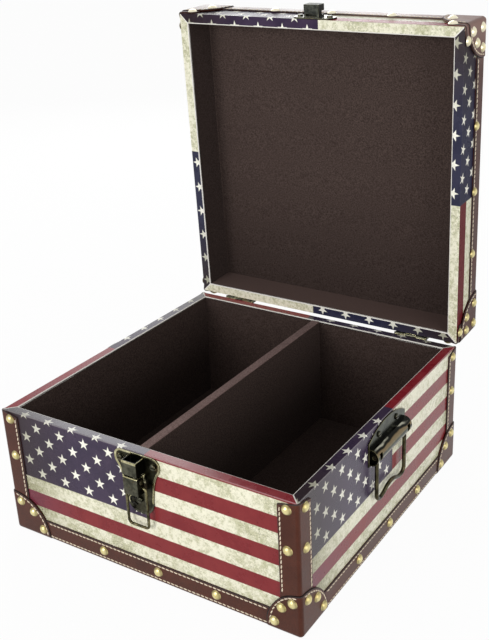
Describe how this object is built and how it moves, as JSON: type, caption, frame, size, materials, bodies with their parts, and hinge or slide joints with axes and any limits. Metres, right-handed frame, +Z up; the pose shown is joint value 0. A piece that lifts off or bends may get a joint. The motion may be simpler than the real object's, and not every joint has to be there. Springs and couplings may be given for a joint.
{
  "type": "hinged keepsake box",
  "caption": "Square lidded keepsake box with a stars-and-stripes print, leather trims, a divided lined base, a hinged lid, a draw latch and bail handles.",
  "frame": {"origin": "middle of the base's underside", "axes": "+X to the right seen from the front, +Y to the back, where the hinges are, +Z up; the lid rests open"},
  "size_m": [0.2656, 0.3025, 0.3657],
  "materials": {
    "board": "sawn fibreboard",
    "print": "matt coated stars-and-stripes print with light ageing",
    "lining": "short dark flock",
    "leather": "satin dark brown, pale stitching",
    "nails": "polished pale brass",
    "hardware": "antique bronze, worn bright at the edges",
    "felt": "black felt"
  },
  "bodies": {
    "base": {"base_back_cover": "print", "base_back_panel": "board", "base_bottom_panel": "board", "base_corner_caps": "leather", "base_corner_strips": "leather", "base_dome_nails": "nails", "base_edge_strip_back": "leather", "base_edge_strip_front": "leather", "base_edge_strip_left": "leather", "base_edge_strip_right": "leather", "base_floor_lining": "lining", "base_front_cover": "print", "base_front_panel": "board", "base_left_cover": "print", "base_left_panel": "board", "base_right_cover": "print", "base_right_panel": "board", "base_underside_sheet": "felt", "base_wall_lining": "lining", "divider_board": "board", "divider_lining": "lining", "handle_left_plate": "hardware", "handle_right_plate": "hardware", "handle_screws": "hardware", "hinge_base_screws": "hardware", "hinge_left_base_leaf": "hardware", "hinge_pins": "hardware", "hinge_right_base_leaf": "hardware", "latch_housing": "hardware", "latch_lever_pin": "hardware", "latch_plate": "hardware", "latch_screws": "hardware"},
    "lid": {"hinge_left_lid_leaf": "hardware", "hinge_lid_screws": "hardware", "hinge_right_lid_leaf": "hardware", "lid_back_cover": "print", "lid_back_panel": "board", "lid_catch": "hardware", "lid_catch_screws": "hardware", "lid_corner_caps": "leather", "lid_corner_strips": "leather", "lid_dome_nails": "nails", "lid_edge_strips": "leather", "lid_front_cover": "print", "lid_front_panel": "board", "lid_left_cover": "print", "lid_left_panel": "board", "lid_right_cover": "print", "lid_right_panel": "board", "lid_top_cover": "print", "lid_top_lining": "lining", "lid_top_panel": "board", "lid_wall_lining": "lining"},
    "latch_lever": {"latch_lever": "hardware"},
    "latch_loop": {"latch_loop": "hardware"},
    "handle_right": {"handle_right_bail": "hardware"},
    "handle_left": {"handle_left_bail": "hardware"}
  },
  "joints": [
    {"name": "lid_hinge", "type": "hinge", "parent": "base", "child": "lid", "pos_m": [0, 0.1265, 0.1031], "axis": [1, 0, 0], "range_deg": [0, 88]},
    {"name": "latch_lever_hinge", "type": "hinge", "parent": "base", "child": "latch_lever", "pos_m": [0, -0.1309, 0.0846], "axis": [1, 0, 0], "range_deg": [-90, 0]},
    {"name": "latch_loop_hinge", "type": "hinge", "parent": "latch_lever", "child": "latch_loop", "pos_m": [0, -0.1295, 0.079], "axis": [-1, 0, 0], "range_deg": [0, 180]},
    {"name": "handle_right_hinge", "type": "hinge", "parent": "base", "child": "handle_right", "pos_m": [0.129, -0.002, 0.083], "axis": [0, -1, 0], "range_deg": [0, 100]},
    {"name": "handle_left_hinge", "type": "hinge", "parent": "base", "child": "handle_left", "pos_m": [-0.129, -0.002, 0.083], "axis": [0, 1, 0], "range_deg": [0, 100]}
  ]
}
